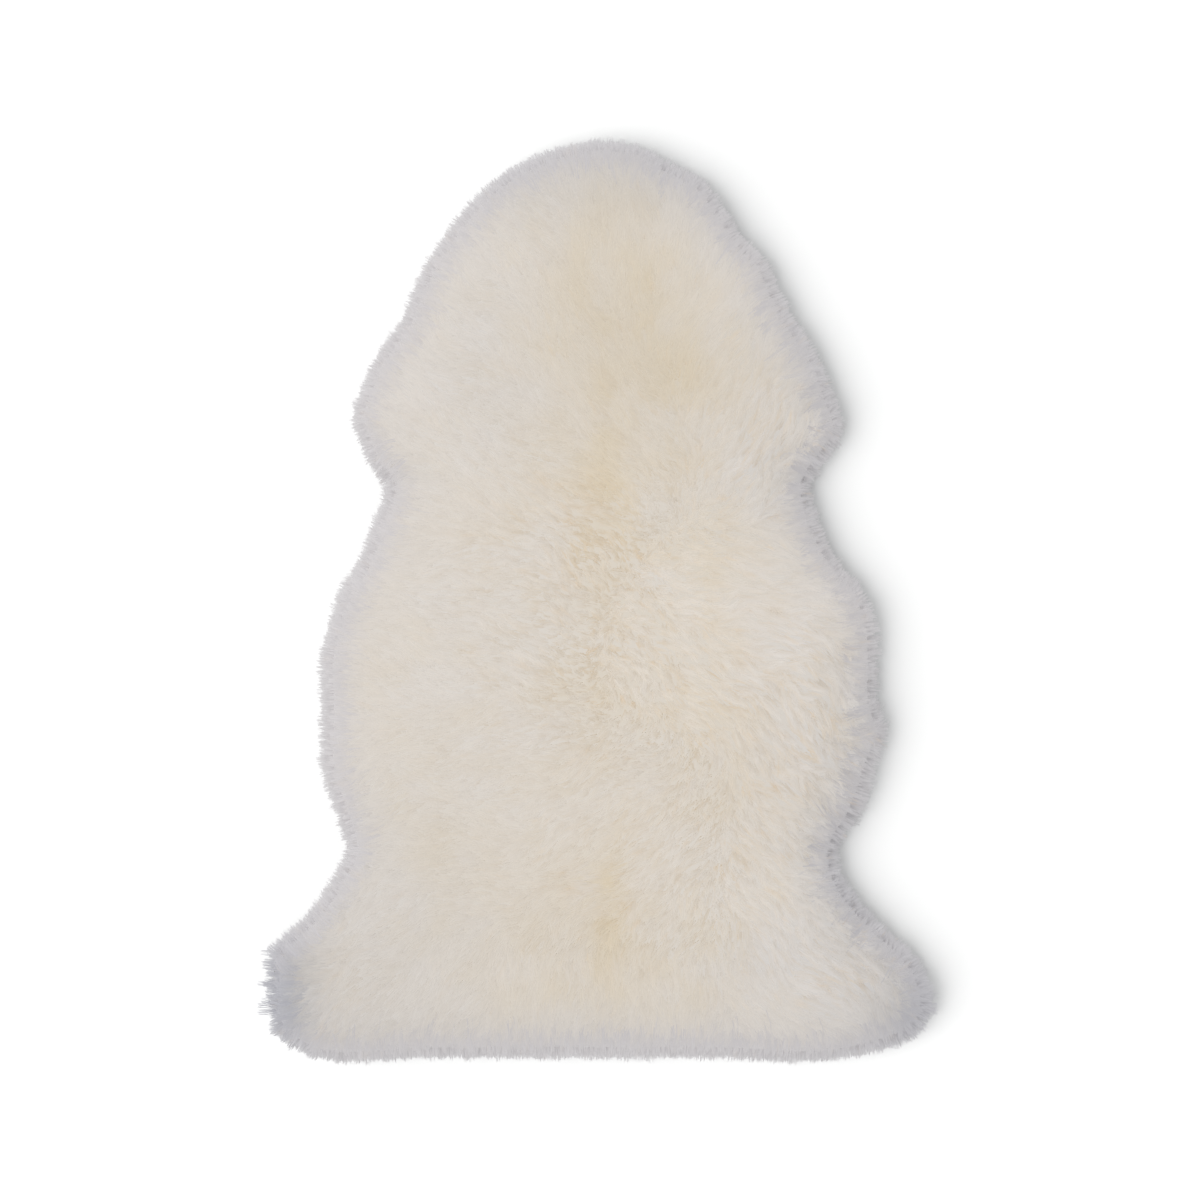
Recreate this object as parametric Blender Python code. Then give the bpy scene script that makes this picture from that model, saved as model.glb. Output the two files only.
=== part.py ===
"""A sheepskin rug: one skin with its own wool on it, lying flat with the wool side up.

Metres. +Y runs from the tail to the neck, +X is to the right when the neck points away from
the viewer, and +Z is up. The origin is on the floor, under the middle of the rug's box.
"""

import math
from collections import namedtuple

import bmesh
import bpy
import numpy as np

MM = 0.001

# The outline over the wool tips, in millimetres: how far each place is from the tail edge, and how
# far the wool reaches there to the left and to the right of the spine.
Section = namedtuple("Section", "place along left right")
SECTIONS = (
    Section("ends of the tail edge", 0, 288, 226),
    Section("under the legs", 10, 311, 283),
    Section("leg soles", 22, 329, 315),
    Section("leg toes", 42, 343, 337),
    Section("legs at their widest", 64, 343, 341),
    Section("upper toes", 92, 342, 333),
    Section("top of the left leg", 117, 341, 314),
    Section("hocks", 135, 318, 293),
    Section("thighs", 161, 293, 270),
    Section("above the thighs", 188, 276, 250),
    Section("drawn in above the legs", 217, 262, 245),
    Section("haunches", 253, 271, 265),
    Section("low belly", 305, 287, 283),
    Section("bulge on the right", 338, 286, 295),
    Section("mid belly", 372, 286, 286),
    Section("belly", 413, 287, 286),
    Section("ribs", 454, 277, 283),
    Section("upper ribs", 485, 267, 270),
    Section("chest", 516, 248, 245),
    Section("behind the forelegs", 552, 235, 226),
    Section("foreleg notch", 593, 222, 217),
    Section("above the notch", 611, 237, 228),
    Section("low shoulder", 640, 249, 248),
    Section("shoulders at their widest", 660, 256, 250),
    Section("mid shoulder", 688, 249, 239),
    Section("upper shoulder", 722, 234, 227),
    Section("throat", 763, 206, 200),
    Section("neck", 794, 193, 184),
    Section("upper neck", 827, 177, 169),
    Section("nape", 846, 164, 149),
    Section("back of the head", 877, 141, 128),
    Section("crown", 907, 110, 106),
    Section("upper crown", 925, 82, 72),
    Section("neck end", 942, 40, 42),
)
NECK_TIP = 948  # along, in millimetres
TAIL_EDGE_POINTS = 4  # between the ends of the tail edge
TAIL_EDGE_RISE = 3  # along, in millimetres: those points are this much higher than the ends

# Low swells and hollows in the wool's top, in millimetres. A negative rise is a hollow.
Swell = namedtuple("Swell", "place across along half_width half_length rise")
SWELLS = (
    Swell("parting along the spine", -12, 440, 42, 170, -3.0),
    Swell("left of the parting", -105, 520, 75, 150, 1.5),
    Swell("right of the parting", 58, 480, 38, 110, 2.0),
    Swell("right shoulder", 90, 715, 75, 70, -3.0),
    Swell("left shoulder", -120, 690, 85, 80, 1.5),
    Swell("crown", -10, 830, 80, 60, 1.0),
    Swell("right flank", 185, 400, 55, 120, 2.0),
    Swell("rump", 5, 165, 45, 75, -2.5),
    Swell("right leg", 250, 95, 60, 45, 2.0),
    Swell("left leg", -260, 70, 60, 45, 1.5),
)

PILE_HEIGHT = 50 * MM  # floor to wool tips in the middle of the rug
EDGE_HEIGHT = 17 * MM  # height at which the wool reaches out furthest
ROUNDING = 82 * MM  # distance from the outline at which the wool stands at its full height
ROUNDING_POWER = 2.2  # 2 would make the rounding a quarter of an ellipse

# Under its widest line the wool curls in to the edge of the skin, which lies flat on the floor.
Ring = namedtuple("Ring", "place inset height")
UNDER_RINGS = (
    Ring("edge of the flat underside", 20 * MM, 0.0),
    Ring("curl of the wool", 10 * MM, 2.5 * MM),
    Ring("under the widest line", 3.5 * MM, 8 * MM),
    Ring("widest line", 0.0, EDGE_HEIGHT),
)
TOP_INSETS = (3 * MM, 10 * MM, 23 * MM, 45 * MM, ROUNDING)
INNER_SHARES = (1 / 3, 2 / 3)  # of the way from the rounding to the spine

# The rings are drawn towards the spine: straight across along it, and in a fan at each end of it.
SPINE_TAIL = 170 * MM
SPINE_NECK = 700 * MM
SPINE_STEPS = 50
NECK_FAN_STEPS = 42
TAIL_FAN_STEPS = 56
Station = namedtuple("Station", "foot ray")

CURVE_STEPS = 8  # points drawn on the outline's curve from one section to the next
SHARP_ANGLE = math.radians(50)
WOOL_COLOUR = (0.72, 0.65, 0.56, 1.0)
WOOL_ROUGHNESS = 0.95


def clear_scene():
    for obj in list(bpy.data.objects):
        bpy.data.objects.remove(obj)


def section_points():
    """The outline's own points, from the tail's right end up to the neck, down the left and back."""
    right = [(s.right, s.along) for s in SECTIONS]
    left = [(-s.left, s.along) for s in reversed(SECTIONS)]
    tail = SECTIONS[0]
    across = np.linspace(-tail.left, tail.right, TAIL_EDGE_POINTS + 2)[1:-1]
    edge = [(x, tail.along + TAIL_EDGE_RISE) for x in across]
    return np.array(right + [(0, NECK_TIP)] + left + edge) * MM


def closed_curve(points):
    """A smooth closed curve through the points, which doesn't overshoot where they are uneven."""
    curve = []
    for i in range(len(points)):
        p0, p1, p2, p3 = (points[(i + k) % len(points)] for k in (-1, 0, 1, 2))
        knots = [0.0]
        for a, b in ((p0, p1), (p1, p2), (p2, p3)):
            knots.append(knots[-1] + math.sqrt(np.linalg.norm(b - a)))
        t0, t1, t2, t3 = knots
        for t in np.linspace(t1, t2, CURVE_STEPS, endpoint=False):
            a1 = ((t1 - t) * p0 + (t - t0) * p1) / (t1 - t0)
            a2 = ((t2 - t) * p1 + (t - t1) * p2) / (t2 - t1)
            a3 = ((t3 - t) * p2 + (t - t2) * p3) / (t3 - t2)
            b1 = ((t2 - t) * a1 + (t - t0) * a2) / (t2 - t0)
            b2 = ((t3 - t) * a2 + (t - t1) * a3) / (t3 - t1)
            curve.append(((t2 - t) * b1 + (t - t1) * b2) / (t2 - t1))
    return np.array(curve)


def stations():
    """One for each radial line of the mesh, counterclockwise from the tail's end of the spine."""
    along = np.linspace(SPINE_TAIL, SPINE_NECK, SPINE_STEPS + 1)
    neck_angles = np.linspace(0, math.pi, NECK_FAN_STEPS + 1)[1:-1]
    tail_angles = np.linspace(math.pi, 2 * math.pi, TAIL_FAN_STEPS + 1)[1:-1]
    found = [Station((0.0, y), (1.0, 0.0)) for y in along]
    found += [Station((0.0, SPINE_NECK), (math.cos(a), math.sin(a))) for a in neck_angles]
    found += [Station((0.0, y), (-1.0, 0.0)) for y in reversed(along)]
    found += [Station((0.0, SPINE_TAIL), (math.cos(a), math.sin(a))) for a in tail_angles]
    return found


def reach(station, outline):
    """How far the station's line runs from the spine to the outline."""
    starts = outline - np.array(station.foot)
    sides = np.roll(outline, -1, axis=0) - outline
    ray = np.array(station.ray)
    turn = ray[0] * sides[:, 1] - ray[1] * sides[:, 0]
    turn[np.abs(turn) < 1e-12] = 1e-12
    distance = (starts[:, 0] * sides[:, 1] - starts[:, 1] * sides[:, 0]) / turn
    share = (starts[:, 0] * ray[1] - starts[:, 1] * ray[0]) / turn
    crossed = (share >= 0) & (share <= 1) & (distance > 0)
    return distance[crossed].min()


def distance_inside(point, outline):
    """The shortest way from the point to the outline."""
    sides = np.roll(outline, -1, axis=0) - outline
    share = ((point - outline) * sides).sum(axis=1) / (sides**2).sum(axis=1)
    nearest = outline + np.clip(share, 0, 1)[:, None] * sides
    return np.linalg.norm(point - nearest, axis=1).min()


def rounded(distance):
    """0 on the outline and 1 where the wool stands at its full height."""
    share = min(distance / ROUNDING, 1.0)
    return (1 - (1 - share) ** ROUNDING_POWER) ** (1 / ROUNDING_POWER)


def top_height(point, outline):
    """Height of the wool's top over the floor."""
    full = PILE_HEIGHT
    for s in SWELLS:
        across = (point[0] / MM - s.across) / s.half_width
        along = (point[1] / MM - s.along) / s.half_length
        full += s.rise * MM * math.exp(-(across**2) - along**2)
    return EDGE_HEIGHT + (full - EDGE_HEIGHT) * rounded(distance_inside(point, outline))


def station_points(station, outline):
    """The points along one station's line, from the flat underside round the edge to the top."""
    foot, ray = np.array(station.foot), np.array(station.ray)
    length = reach(station, outline)
    points = [(*(foot + ray * (length - r.inset)), r.height) for r in UNDER_RINGS]
    inner = length - ROUNDING
    lengths = [length - inset for inset in TOP_INSETS]
    lengths += [inner * (1 - share) for share in INNER_SHARES]
    for at in lengths:
        point = foot + ray * at
        points.append((*point, top_height(point, outline)))
    return points


def sheepskin_mesh():
    outline = closed_curve(section_points())
    middle = (outline.min(axis=0) + outline.max(axis=0)) / 2
    bm = bmesh.new()

    def vertex(x, y, z):
        return bm.verts.new((x - middle[0], y - middle[1], z))

    lines, feet = [], {}
    ring = stations()
    for station in ring:
        lines.append([vertex(*point) for point in station_points(station, outline)])
        if station.foot not in feet:
            height = top_height(np.array(station.foot), outline)
            feet[station.foot] = vertex(*station.foot, height)
    for i, station in enumerate(ring):
        after = (i + 1) % len(ring)
        here, there = lines[i], lines[after]
        for k in range(len(here) - 1):
            bm.faces.new((here[k], there[k], there[k + 1], here[k + 1]))
        foot, next_foot = feet[station.foot], feet[ring[after].foot]
        corners = [here[-1], there[-1], next_foot]
        if foot is not next_foot:
            corners.append(foot)
        bm.faces.new(corners)
    bm.faces.new([line[0] for line in reversed(lines)])
    bmesh.ops.recalc_face_normals(bm, faces=bm.faces)
    mesh = bpy.data.meshes.new("sheepskin")
    bm.to_mesh(mesh)
    bm.free()
    mesh.shade_smooth()
    mesh.set_sharp_from_angle(angle=SHARP_ANGLE)
    return mesh


def wool_material():
    material = bpy.data.materials.new("wool")
    material.use_nodes = True
    surface = material.node_tree.nodes["Principled BSDF"]
    surface.inputs["Base Color"].default_value = WOOL_COLOUR
    surface.inputs["Roughness"].default_value = WOOL_ROUGHNESS
    surface.inputs["Metallic"].default_value = 0.0
    return material


def make_sheepskin(collection):
    sheepskin = bpy.data.objects.new("sheepskin", sheepskin_mesh())
    sheepskin.data.materials.append(wool_material())
    collection.objects.link(sheepskin)


def main():
    clear_scene()
    collection = bpy.data.collections.new("sheepskin rug")
    bpy.context.scene.collection.children.link(collection)
    make_sheepskin(collection)


main()
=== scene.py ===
import math
from collections import namedtuple

import bpy
import numpy as np
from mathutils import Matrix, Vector
from mathutils.kdtree import KDTree


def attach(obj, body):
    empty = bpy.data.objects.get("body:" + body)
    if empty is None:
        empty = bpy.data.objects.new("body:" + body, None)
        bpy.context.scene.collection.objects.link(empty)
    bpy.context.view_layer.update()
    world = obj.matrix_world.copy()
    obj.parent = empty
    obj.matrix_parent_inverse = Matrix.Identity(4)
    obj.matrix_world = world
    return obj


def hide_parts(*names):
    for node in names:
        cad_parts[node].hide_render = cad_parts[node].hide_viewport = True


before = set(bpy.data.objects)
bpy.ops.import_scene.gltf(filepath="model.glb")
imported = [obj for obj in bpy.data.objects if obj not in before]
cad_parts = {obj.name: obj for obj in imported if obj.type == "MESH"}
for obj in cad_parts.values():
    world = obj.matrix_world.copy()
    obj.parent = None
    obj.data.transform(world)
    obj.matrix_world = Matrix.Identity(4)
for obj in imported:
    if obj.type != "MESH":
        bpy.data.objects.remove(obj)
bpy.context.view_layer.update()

MM = 0.001
NODE = "sheepskin"
SEED = 41

# ---------------------------------------------------------------------------------------------
# Where the wool changes. Places are in millimetres: across from the spine, positive to the right,
# and along from the tail edge to the neck.
# ---------------------------------------------------------------------------------------------
# Which way the wool lies, in degrees counterclockwise from +X.
Lay = namedtuple("Lay", "place across along heading reach")
LAYS = (
    Lay("neck tip", 0, 930, 100, 90),
    Lay("left crown", -90, 850, 145, 90),
    Lay("right crown", 90, 860, 75, 90),
    Lay("left shoulder", -200, 660, 170, 110),
    Lay("withers", 0, 700, 130, 110),
    Lay("right shoulder", 190, 690, 50, 100),
    Lay("left ribs", -220, 480, 168, 110),
    Lay("back", -60, 480, 155, 110),
    Lay("right ribs", 230, 470, -20, 100),
    Lay("right of the spine", 70, 430, -30, 90),
    Lay("left belly", -230, 330, 185, 110),
    Lay("loin", 0, 250, 200, 100),
    Lay("right belly", 230, 300, -40, 110),
    Lay("left leg", -280, 80, 225, 90),
    Lay("right leg", 280, 80, -45, 90),
    Lay("tail", 0, 30, 270, 80),
)

Patch = namedtuple("Patch", "place across along half_width half_length amount")

# Where the locks stand out from one another (1), and where they are combed smooth (0).
WISP_GROUND = 0.12
WISP_PATCHES = (
    Patch("middle of the back", 0, 440, 110, 150, 0.64),
    Patch("upper back", -35, 545, 70, 55, 0.28),
    Patch("right shoulder", 190, 640, 90, 90, 0.4),
    Patch("right flank", 200, 330, 110, 170, 0.5),
    Patch("rump", 60, 170, 120, 90, 0.3),
    Patch("edge of the right flank", 270, 300, 50, 130, 0.6),
    Patch("edge of the right shoulder", 230, 630, 45, 80, 0.4),
    Patch("right leg", 290, 110, 80, 80, 0.5),
    Patch("left leg", -310, 80, 60, 70, 0.3),
)
# How far the spikes of the fringe differ in length, in millimetres.
FRINGE_LENGTH = 5
FRINGE_PATCHES = (
    Patch("left leg", -350, 72, 60, 56, 15),
    Patch("right leg", 345, 60, 50, 60, 1),
    Patch("right flank", 290, 330, 50, 180, 2.5),
)
# How far the fringe reaches past the solid's outline, in millimetres.
FRINGE_FURTHER = 2.4
FURTHER_PATCHES = (
    Patch("left flank", -285, 420, 70, 220, 2.6),
    Patch("tail edge", 0, 0, 230, 50, 1.0),
    Patch("corner of the right flank", 275, 272, 34, 24, 6.5),
    Patch("left leg", -350, 75, 60, 75, -2.2),
    Patch("right flank", 280, 480, 70, 300, -1.4),
    Patch("neck end", 0, 940, 120, 50, -1.0),
    Patch("right leg", 335, 45, 50, 55, 3.0),
)
# How creamy the wool is.
CREAM_GROUND = 0.05
CREAM_PATCHES = (
    Patch("crown", -10, 850, 90, 60, 0.22),
    Patch("head", 35, 755, 95, 90, 0.56),
    Patch("right of the neck", 100, 690, 60, 60, 0.22),
    Patch("streak down the nape", 0, 610, 30, 100, 0.34),
    Patch("back", 20, 560, 110, 120, 0.22),
    Patch("right of the nape", 110, 540, 55, 70, 0.20),
    Patch("streak down the back", -12, 400, 36, 120, 0.20),
    Patch("loin", 10, 320, 140, 120, 0.15),
    Patch("streak at the tail", 6, 160, 16, 90, 0.40),
    Patch("tail", 0, 90, 150, 90, 0.26),
    Patch("left haunch", -150, 200, 90, 90, 0.06),
    Patch("right haunch", 135, 280, 80, 160, 0.20),
    Patch("left belly", -180, 270, 90, 110, 0.08),
    Patch("right flank", 220, 480, 80, 110, -0.06),
    Patch("left shoulder", -225, 700, 50, 70, -0.15),
    Patch("right leg", 280, 100, 90, 80, -0.22),
)
# Painted shade: how much darker the wool's colour is made in places.
SHADE_PATCHES = (
    Patch("crown", 0, 915, 140, 50, 0.08),
    Patch("head", 20, 780, 130, 130, 0.045),
    Patch("right shoulder", 200, 660, 80, 100, 0.05),
    Patch("right haunch", 190, 260, 80, 90, 0.04),
    Patch("tail", 0, 70, 240, 80, 0.04),
    Patch("left leg", -290, 70, 90, 80, 0.07),
    Patch("end of the left leg", -335, 64, 36, 66, 0.22),
    Patch("right leg", 280, 70, 90, 80, 0.09),
    Patch("end of the right leg", 330, 50, 45, 55, 0.13),
    Patch("hollow over the right leg", 262, 185, 36, 70, 0.09),
    Patch("right flank", 215, 430, 100, 200, 0.03),
    Patch("upper right", 110, 720, 80, 90, 0.035),
    Patch("right of the back", 130, 570, 60, 60, 0.03),
    Patch("left shoulder", -130, 700, 80, 90, 0.02),
    Patch("left haunch", -190, 190, 80, 120, 0.035),
    Patch("right side", 260, 350, 50, 60, 0.04),
    Patch("inside of the right leg", 160, 90, 50, 60, 0.03),
)

# Amounts that differ between smooth wool and wisps: on smooth wool, and how much more in a wisp.
Amount = namedtuple("Amount", "smooth more")

# ---------------------------------------------------------------------------------------------
# The skin, and the matted wool on it, called the core
# ---------------------------------------------------------------------------------------------
UNDERSIDE = 0.1 * MM         # what lies lower than this is the solid's flat underside
SKIN_INSET = 6 * MM          # the skin's edge is this far inside the edge of the flat underside
SKIN_THICKNESS = 2 * MM
CORE_DEPTH = 6 * MM          # the core is this far inside the locks' tips on top
CORE_RIM_DEPTH = 11 * MM     # and this far where they stand steep, round the edge
CORE_BASE = 1.5 * MM         # height of its lowest points
CORE_SHADE = 0.96            # painted shade: its brightness as a share of the locks'
CORE_ROOTS = 0.4             # share of the roots' colour in creamy wool
# The upward part of the surface's direction, where the wool is at its steepest and where it isn't.
STEEP_UP, FLAT_UP = 0.35, 0.9

# ---------------------------------------------------------------------------------------------
# Locks
# ---------------------------------------------------------------------------------------------
CANDIDATES = 220_000         # places that are tried for a lock
LOCK_SPACING = 3.95 * MM
LOCK_RADIUS = 3.6 * MM
STRIP = 8 * MM               # locks are numbered to and fro, in strips of this width
RIM_FROM, RIM_TO = 4 * MM, 34 * MM    # from all wool pointing outward to none, going in
RIM_LAY = 0.9                # how flat the wool on the rim lies, where 1 is flat
LOCK_TURN = 0.12             # spread of the locks' directions, in radians
LOCK_STRAY = 0.08            # and of their strengths
LEAST_LAY, MOST_LAY = 0.3, 1.1
WISP_LAY = Amount(0.3, 0.3)  # the least in a wisp
WEAK_LAY = 0.3               # under this, the wool runs down the slope
DEPTH, DEPTH_SPREAD = 11, 1.3         # from a lock's tip down to its root, in millimetres
DEPTH_UPRIGHT = 7                     # and how much more where the wool stands upright
REACH, REACH_SPREAD = Amount(19, 4), 4  # from a lock's root to its tip in plan, in millimetres
LEAST_REACH, MOST_REACH = 4, 30
UPRIGHT_REACH = 0.8          # share of the reach that is lost where the wool stands upright
UPRIGHT_FROM, SPIKY_FROM, THIN_FROM = 0.65, 0.45, 0.5  # steepness at which each of these begins
SUNK_SHAPE = 1.6             # of the tips' spread under the surface, in millimetres
SPIKE_CENTRE, SPIKE_POWER = 0.3, 2.2  # of the fringe's lengths
FURTHER_FROM, FURTHER_TO = 0.3, 0.8   # steepness over which the fringe's further reach sets in
FAMILY_SHARES = 0.7, 0.4, 0.6         # what streaks and tufts add to the locks' families
FAMILY_RISE = 0.9            # how far a family stands out in a wisp, in millimetres
CURL = Amount(1.2, 2.0)      # how far the locks bend sideways, in millimetres
BEND_SIZE, BEND_NOISE, BEND_TUFT, BEND_SPREAD = 20 * MM, 1.5, 0.9, 0.6
BEND_LOST = 0.6              # on steep places
TIGHT, TIGHT_SPIKES = Amount(0.25, 0.5), 0.93   # how closely a lock's strands meet at its tip
GATHER, GATHER_SPIKES = 1.3, 0.65     # how late they meet

# Where the wool is wispy, locks draw together into tufts.
TUFT_SPACING = 8 * MM
TUFT_DRAW = 0.45             # share of the way to the middle of the tuft
DRAW_FROM, DRAW_TO = 8 * MM, 32 * MM  # from the outline, where this sets in
TUFT_TURN = 0.22             # spread of the tufts' directions, in radians

# Under its widest line the wool hangs out and down to the floor.
HANGING_FROM, HANGING_TO = 8 * MM, 17 * MM   # heights: all of it, and none
HANGING_OUT = 0.7            # share of the way to the outline that a hanging lock is pushed out
HANGING_PUSH = 0.6, 1.15     # the least and the most of that
HANGING_LAY = 0.8, 0.6       # outward and downward
HANGING_LOOSE = 0.5          # share of its tightness that it loses
DROOP, DROOP_SHAPE = 4 * MM, 2.0      # how far the tips over it droop
DROOP_FROM, DROOP_TO = 9 * MM, 17 * MM
LOWEST_TIP = 2 * MM

# ---------------------------------------------------------------------------------------------
# Strands, each of 5 triangles
# ---------------------------------------------------------------------------------------------
STRANDS_A_LOCK = 9
STRAND_PIECES = 5            # the pile is this many pieces, each over the whole rug
STRANDS_A_PIECE = 37_700
STATIONS = np.array([0.0, 0.42, 0.74, 1.0])  # places along a strand, from its root to its tip
TAPER = np.array([1.0, 0.95, 0.7, 0.0])      # and its share of the full width there
STRAND_WIDTH = 0.95 * MM
WIDTH_SPREAD = 0.7, 1.3
THINNER = 0.5                # share of the width that fringe strands lose
RISE, SLOPE = 1.6, 1.35      # how a strand curves up to its tip and along its lock
STRAND_DEPTH, STRAND_REACH, STRAND_BEND = 0.08, 0.15, 0.6   # spreads within a lock
CLUMP, CLUMP_SPREAD, MOST_CLUMP = 0.15, 0.3, 0.97
LONG_LOCK = 1.5              # a lock is this much longer than wide in plan
WOBBLE, SHORT_SHAPE, SHORT_SCALE = 0.5, 1.2, 0.7            # in millimetres
WOBBLE_LOST = 0.2            # on steep places
LOWEST = 0.6 * MM
SPIKES = 3                   # that a lock of the fringe ends in
SPIKE_RADIUS = 0.62          # share of the lock's radius at which they stand
SPIKES_NARROWER = 0.5
TILT, ROUNDED = 0.10, 0.65   # random tilt of the strands, and tilt away from a wisp's crest
CREST_WIDTH = 0.55           # share of the tufts' spacing
STRAND_ASIDE = 0.7           # share of the lock's radius
MOST_ASIDE = 1.3
FACE_UP = 0.6                # how much strands on steep places turn their faces up
EDGE_FROM, EDGE_TO = 0.5, 1.1         # how far from a wisp's crest its edge is, in crest widths

# ---------------------------------------------------------------------------------------------
# Colours, in linear light
# ---------------------------------------------------------------------------------------------
CREAM = np.array([0.660, 0.573, 0.430])
NEUTRAL = np.array([0.677, 0.634, 0.590])
# The wool round the rim: greyer, and darker as painted shade
RIM_GREY_AND_SHADE = np.array([0.610, 0.582, 0.584])
# The roots' colour: yellower than the tips, and darker as painted shade deep in the pile
SHADED_ROOT = np.array([0.62, 0.50, 0.35])
FLECK = np.array([0.68, 0.53, 0.36])
# Pale colour for the tips on steep places, and for the painted highlight on a wisp's crest
WHITE = np.array([0.74, 0.73, 0.73])
WHITE_OVER = 0.62            # brightness of the wool on which WHITE is used as it is
SHADE_TINT = np.array([1.0, 0.9, 0.7])       # how much of each colour a place of painted shade loses
THROUGH = 0.3                # the share of light that passes through a fibre
BRIGHTER = 1.115             # to make up for what passes through
BRIGHTEST = 0.95

CLOUD_SIZES = 60 * MM, 24 * MM
CLOUDS = 0.1, 0.2            # how much the clouds change the cream
CREAM_CLOUDED = 0.4
CREAM_FROM, CREAM_TO, MOST_CREAM = 2 * MM, 60 * MM, 1.3     # going in from the outline
GREY_TO = 30 * MM            # how far the rim's grey, which is partly painted shade, reaches in

# Painted shade: the wool's colour is darker in a band along the outline, most on the side that
# faces away from the light.
BAND_HEADING = -70           # degrees counterclockwise from +X, where the band is darkest
BAND_FROM, BAND_TO = -30 * MM, 75 * MM
BAND_SHADE, BAND_SWING = 0.105, 0.055
LOW_WOOL, HIGH_WOOL = 6 * MM, 20 * MM        # painted shade: the wool near the floor is darker on that side too
LOW_SHADE = 0.14

# The pattern of wisps that lie over one another.
WARP, WARP_SIZE = 4.5 * MM, 13 * MM          # how far and over what size the wisps wave
Streak = namedtuple("Streak", "width length seed")
FINE_STREAK = Streak(5 * MM, 20 * MM, 12)
BROAD_STREAK = Streak(10 * MM, 30 * MM, 13)
LINE_STREAK = Streak(7 * MM, 26 * MM, 14)
FLECK_STREAK = Streak(3 * MM, 10 * MM, 11)
LINE_WIDTH, LINE_FADE = 0.5, 0.4
LINE_GROUP_SIZE, LINE_GROUP_FROM, LINE_GROUP_TO = 26 * MM, -0.35, 0.15
FLECK_FROM, FLECK_TO = 1.5, 2.1
# Painted shade in the lines between wisps and on a wisp's edges: darker, creamier, and in the
# shaded roots' colour.
LINE_SHADE, LINE_CREAM, LINE_ROOT = 0.06, 0.9, 0.35
EDGE_SHADE, EDGE_ROOT = 0.015, 0.27
INNER_FROM, INNER_TO = 12 * MM, 70 * MM      # going in, where wisps begin to show creamier roots
OWN_TONE = 0.004             # spread of the strands' brightness
FAMILY_FINE, FAMILY_LOCK = 0.5, 0.6
# Painted light and shade on wisps: how much a family's height lightens or darkens it, makes it
# less creamy, and adds a painted highlight.
FAMILY_TONE, FAMILY_CREAM = Amount(0.003, 0.026), Amount(0.04, 0.36)
FAMILY_HIGHLIGHT, FLECKED = Amount(0.02, 0.12), Amount(0.15, 1)
INNER_CREAM, FLECK_CREAM, MOST_STRAND_CREAM = 0.3, 0.35, 1.6
FLECK_STRENGTH = 0.5
RICH_WISP, MOST_RICH = 0.35, 1.2             # how much of the roots' own colour shows
# Roots in pale wool are darker, as painted shade deep in the pile
ROOT_SHADE = 0.90
ROOT_FADE, ROOT_SHARE, ROOT_FLECK = 1.1, Amount(0.2, 0.6), 0.4
PALE_TIP = 0.35              # on steep places

# ---------------------------------------------------------------------------------------------
# The studio, and the camera straight above
# ---------------------------------------------------------------------------------------------
FLOOR_HALF_SIZE = 15.0
WORLD_COLOUR, WORLD_STRENGTH = (0.97, 0.985, 1.0, 1), 1.0
LIGHT_HEADING = 196          # degrees counterclockwise from +X, from the rug towards the light
LIGHT_ANGLE = 62
LIGHT_DISTANCE = 3
KEY_ELEVATION, KEY_STRENGTH = 45, 4.0
SIDE_ELEVATION, SIDE_STRENGTH = 42, 0.6

MM_PER_PIXEL = 1.03
IMAGE_SIZE = 1200
IMAGE_CENTRE = (0.515 * MM, 1.03 * MM)
CAMERA_HEIGHT = 3.6
OUTLINE_HEIGHT = 17 * MM
SENSOR = 36


# ---------------------------------------------------------------------------------------------
# Geometry
# ---------------------------------------------------------------------------------------------
def unit(v):
    return v / np.maximum(np.linalg.norm(v, axis=-1, keepdims=True), 1e-12)


def turned(v, angle):
    c, s = np.cos(angle), np.sin(angle)
    return np.stack([c * v[:, 0] - s * v[:, 1], s * v[:, 0] + c * v[:, 1]], axis=1)


def in_plan(v, z=0.0):
    """Vectors in plan as vectors in space, with the same z for all of them."""
    return np.concatenate([v, np.full((len(v), 1), z)], axis=1)


def ease(x, low, high):
    t = np.clip((x - low) / (high - low), 0, 1)
    return t * t * (3 - 2 * t)


def mixed(first, second, share):
    return first * (1 - share) + second * share


def in_wisps(amount, wisp):
    return amount.smooth + amount.more * wisp


def tree_of(places):
    tree = KDTree(len(places))
    for i, p in enumerate(places):
        tree.insert(p, i)
    tree.balance()
    return tree


# ---------------------------------------------------------------------------------------------
# The CAD solid, read as plain points and triangles
# ---------------------------------------------------------------------------------------------
def node_surface(obj):
    mesh = obj.data
    points = np.zeros(len(mesh.vertices) * 3)
    mesh.vertices.foreach_get("co", points)
    points = points.reshape(-1, 3)
    mesh.calc_loop_triangles()
    triangles = np.zeros(len(mesh.loop_triangles) * 3, int)
    mesh.loop_triangles.foreach_get("vertices", triangles)
    triangles = triangles.reshape(-1, 3)
    _, first, inverse = np.unique(
        np.round(points / 1e-6).astype(np.int64), axis=0, return_index=True, return_inverse=True
    )
    return points[first], inverse.reshape(-1)[triangles]


def face_areas(points, triangles):
    """For each triangle, a vector out of it that is as long as its area."""
    a, b, c = (points[triangles[:, i]] for i in range(3))
    return np.cross(b - a, c - a) / 2


def vertex_normals(points, triangles, areas):
    total = np.zeros_like(points)
    for i in range(3):
        np.add.at(total, triangles[:, i], areas)
    return unit(total)


def steepness(normals):
    return 1 - ease(normals[:, 2], STEEP_UP, FLAT_UP)


def on_underside(points, triangles):
    return points[triangles][:, :, 2].max(axis=1) < UNDERSIDE


def border(points, triangles):
    """The edge of these triangles, as an ordered loop of points."""
    sides = {}
    for a, b, c in triangles:
        for side in ((a, b), (b, c), (c, a)):
            key = frozenset(side)
            sides[key] = None if key in sides else side
    after = dict(side for side in sides.values() if side)
    start = next(iter(after))
    loop = [start]
    while after[loop[-1]] != start:
        loop.append(after[loop[-1]])
    return points[loop]


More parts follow.
